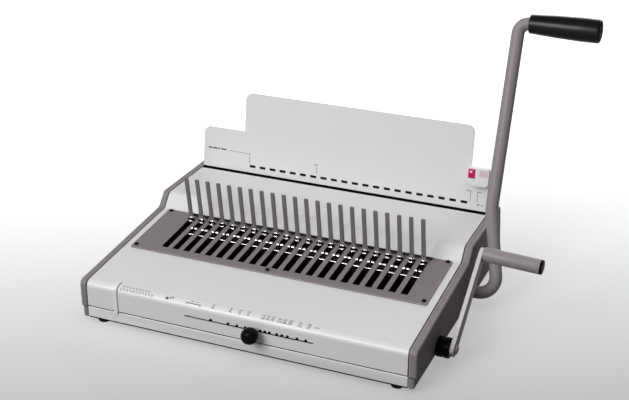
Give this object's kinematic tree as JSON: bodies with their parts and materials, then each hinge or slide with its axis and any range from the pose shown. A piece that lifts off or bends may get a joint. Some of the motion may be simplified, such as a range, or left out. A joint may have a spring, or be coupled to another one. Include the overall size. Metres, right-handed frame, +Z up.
{
  "type": "comb binding machine",
  "caption": "Desktop comb binding machine with a sloping slotted deck, tines and hooks that open a plastic comb, a paper throat with a standing guide, a punch lever and a comb lever.",
  "frame": {"origin": "under the middle of the whole machine's box, on the surface that it stands on", "axes": "+X to the right along the throat, +Y from the front to the rear, +Z up"},
  "size_m": [0.5084, 0.352, 0.3309],
  "materials": {
    "cover_white": "pale grey-white enamel, satin",
    "panel_grey": "warm grey moulded plastic",
    "deck_grey": "warm grey satin paint",
    "tine_grey": "dark warm grey satin paint",
    "steel": "plain machined steel",
    "chrome": "bright plated",
    "lever_grey": "warm grey semi-gloss paint",
    "black_plastic": "black, semi-gloss",
    "black_rubber": "black, matte",
    "guide_grey": "light grey, satin",
    "magenta": "magenta, gloss",
    "pink": "pale pink, gloss"
  },
  "bodies": {
    "casing": {"base_pan": "cover_white", "top_cover": "cover_white", "rear_cover": "cover_white", "front_gauge_strip": "cover_white", "left_side_panel": "panel_grey", "right_side_panel": "panel_grey", "left_frame_plate": "steel", "right_frame_plate": "steel", "deck_plate": "deck_grey", "deck_screw_1": "black_plastic", "deck_screw_2": "black_plastic", "deck_screw_3": "black_plastic", "deck_screw_4": "black_plastic", "deck_screw_5": "black_plastic", "deck_screw_6": "black_plastic", "tine_comb": "tine_grey", "hook_guide_left": "steel", "hook_guide_right": "steel", "comb_bush_left": "steel", "comb_bush_right": "steel", "selector_rod": "steel", "punch_bush_left": "steel", "punch_bush_right": "steel", "die_plate": "steel", "punch_guide_plate": "steel", "paper_guide": "guide_grey", "foot_front_left": "black_rubber", "foot_front_right": "black_rubber", "foot_rear_left": "black_rubber", "foot_rear_right": "black_rubber"},
    "comb_lever": {"comb_shaft": "steel", "comb_sector_left": "steel", "comb_sector_right": "steel", "comb_lever_hub": "black_plastic", "comb_lever_arm": "lever_grey", "comb_lever_handle": "lever_grey", "comb_lever_end_cap": "black_plastic", "comb_lever_bolt": "steel"},
    "hook_rail": {"hook_rail": "chrome", "hook_rack_left": "steel", "hook_rack_right": "steel"},
    "punch_lever": {"punch_shaft": "steel", "punch_crank_left": "steel", "punch_crank_right": "steel", "punch_lever_tube": "lever_grey", "punch_lever_grip": "black_plastic"},
    "punch_carriage": {"punch_draw_bar_left": "steel", "punch_draw_bar_right": "steel", "punch_pin_bar": "steel"},
    "selector": {"selector_knob": "black_plastic", "selector_slider": "black_plastic"},
    "edge_stop": {"edge_stop": "cover_white", "edge_stop_window": "pink", "edge_stop_spring": "steel"},
    "edge_stop_button": {"edge_stop_button": "magenta"},
    "chip_tray": {"chip_tray": "black_plastic"}
  },
  "joints": [
    {"name": "comb_lever_swing", "type": "hinge", "parent": "casing", "child": "comb_lever", "pos_m": [0.14918, -0.08328, 0.01998], "axis": [1, 0, 0], "range_deg": [0, 90]},
    {"name": "hook_rail_slide", "type": "slide", "parent": "casing", "child": "hook_rail", "axis": [0, -0.997, -0.078], "range_m": [0, 0.0377]},
    {"name": "punch_lever_swing", "type": "hinge", "parent": "casing", "child": "punch_lever", "pos_m": [0.14918, 0.05, 0.02], "axis": [1, 0, 0], "range_deg": [0, 70]},
    {"name": "punch_carriage_slide", "type": "slide", "parent": "casing", "child": "punch_carriage", "axis": [0, -1, 0], "range_m": [0, 0.01]},
    {"name": "selector_slide", "type": "slide", "parent": "casing", "child": "selector", "axis": [1, 0, 0], "range_m": [-0.08, 0.065]},
    {"name": "edge_stop_slide", "type": "slide", "parent": "casing", "child": "edge_stop", "axis": [1, 0, 0], "range_m": [-0.003, 0.006]},
    {"name": "edge_stop_button_press", "type": "slide", "parent": "edge_stop", "child": "edge_stop_button", "axis": [0, 0.9903, -0.1392], "range_m": [0, 0.0012], "stiffness_N_per_m": 800, "deforming": ["edge_stop_spring"]},
    {"name": "chip_tray_slide", "type": "slide", "parent": "casing", "child": "chip_tray", "axis": [0, 1, 0], "range_m": [0, 0.09]}
  ],
  "couplings": [
    {"joint": "hook_rail_slide", "follows": "comb_lever_swing", "m_per_rad": 0.024},
    {"joint": "punch_carriage_slide", "follows": "punch_lever_swing", "m_per_rad": 0.008185}
  ]
}
